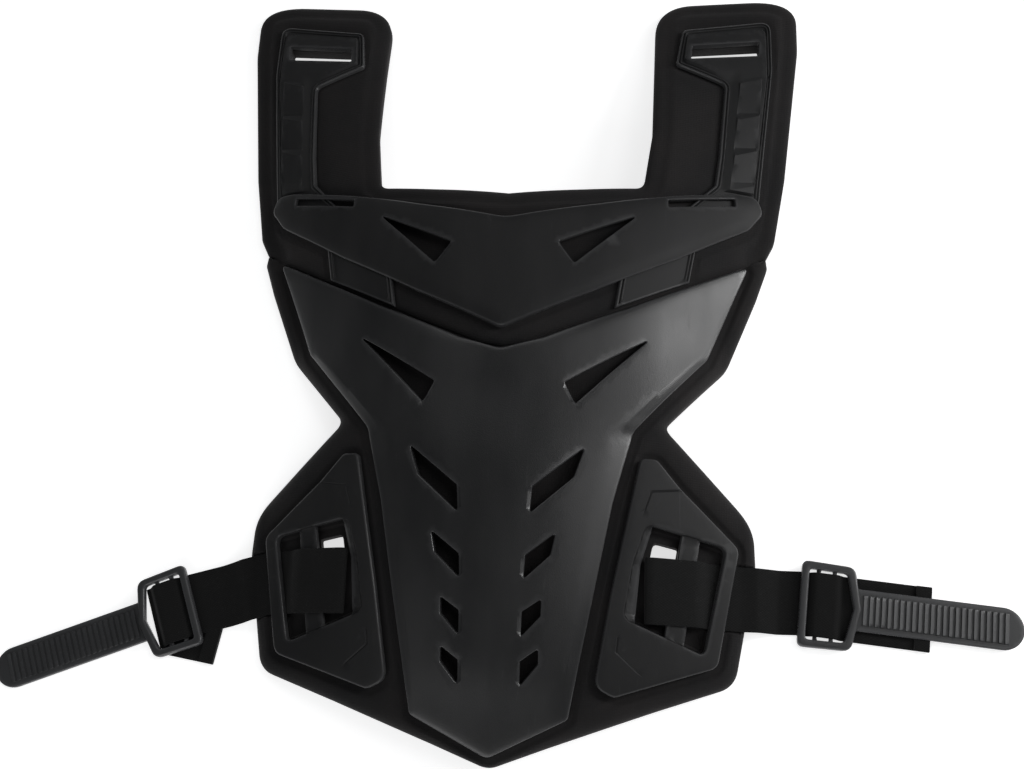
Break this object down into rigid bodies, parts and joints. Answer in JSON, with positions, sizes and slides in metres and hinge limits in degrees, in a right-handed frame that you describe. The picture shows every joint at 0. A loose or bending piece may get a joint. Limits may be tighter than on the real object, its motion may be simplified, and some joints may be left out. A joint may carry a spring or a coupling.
{
  "type": "motocross chest protector",
  "caption": "Black motocross chest protector front: vented plastic chest shield and chest bar on foam pads, ridged shoulder plates, hip frames, side webbing with buckles and ladder straps.",
  "frame": {"origin": "middle of the overall width and length, on the surface the protector lies on", "axes": "+X towards the right-hand strap as seen from the front, +Y towards the shoulders, +Z out of the front of the chest"},
  "size_m": [0.624, 0.5223, 0.0632],
  "materials": {
    "pad_foam": "fabric-laminated foam, fine knit",
    "shell": "satin moulded plastic",
    "webbing": "flat woven webbing",
    "buckle": "satin moulded plastic"
  },
  "bodies": {
    "root": {"upper_pad": "pad_foam", "lower_pad": "pad_foam", "upper_plate": "shell", "lower_plate": "shell", "shoulder_plate_left": "shell", "shoulder_plate_right": "shell", "hip_plate_left": "shell", "hip_plate_right": "shell", "webbing_left": "webbing", "webbing_right": "webbing", "buckle_strap_left": "buckle", "buckle_strap_right": "buckle"}
  },
  "joints": []
}
